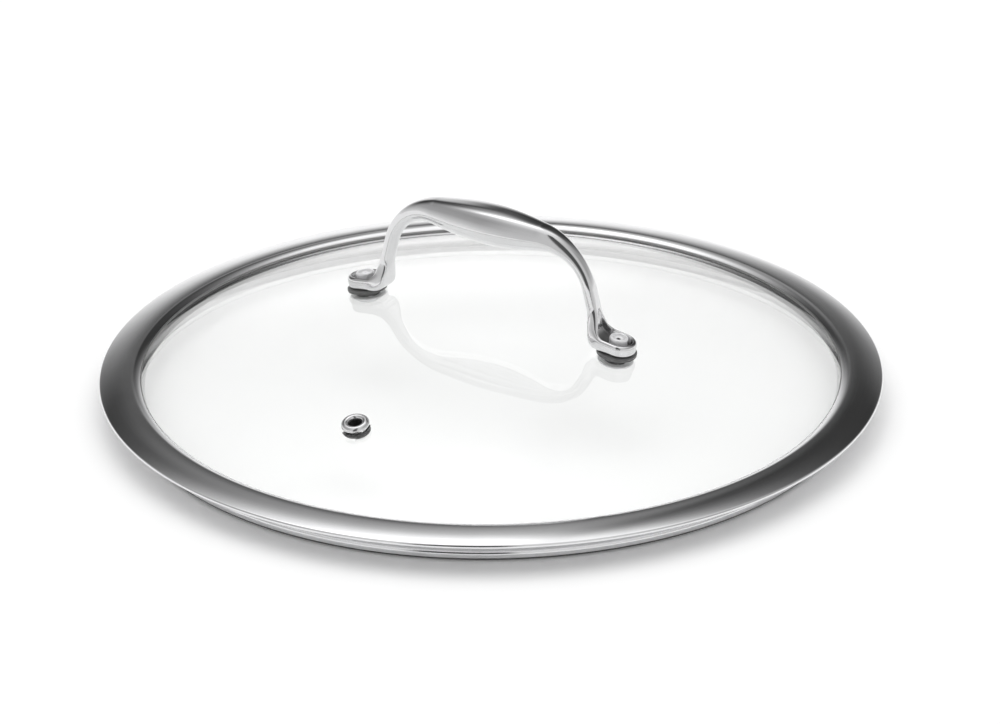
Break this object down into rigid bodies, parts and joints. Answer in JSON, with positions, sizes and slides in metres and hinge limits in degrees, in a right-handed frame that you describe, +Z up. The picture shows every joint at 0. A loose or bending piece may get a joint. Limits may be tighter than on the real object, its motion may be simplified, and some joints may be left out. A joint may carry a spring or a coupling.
{
  "type": "domed glass pan lid",
  "caption": "Domed tempered-glass pan lid with a folded steel rim, a riveted cast bow handle and a steam vent; closes a round pan or pot.",
  "frame": {"origin": "centre of the ring at the bottom of the rim that the lid stands on when it is put down", "axes": "+Z up along the lid's axis, X along the handle from foot to foot, the vent on the -Y side"},
  "size_m": [0.28, 0.28, 0.0746],
  "materials": {
    "glass": "clear tempered glass",
    "rim_steel": "bright polished stainless sheet",
    "handle_steel": "polished cast stainless",
    "fitting_steel": "satin stainless",
    "silicone": "dark grey matt silicone"
  },
  "bodies": {
    "root": {"glass_disc": "glass", "rim_band": "rim_steel", "handle": "handle_steel", "left_foot_gasket": "silicone", "right_foot_gasket": "silicone", "left_hole_bush": "silicone", "right_hole_bush": "silicone", "left_backing_washer": "fitting_steel", "right_backing_washer": "fitting_steel", "left_rivet": "fitting_steel", "right_rivet": "fitting_steel", "vent_eyelet": "fitting_steel", "vent_sleeve": "silicone", "vent_washer": "fitting_steel"}
  },
  "joints": []
}
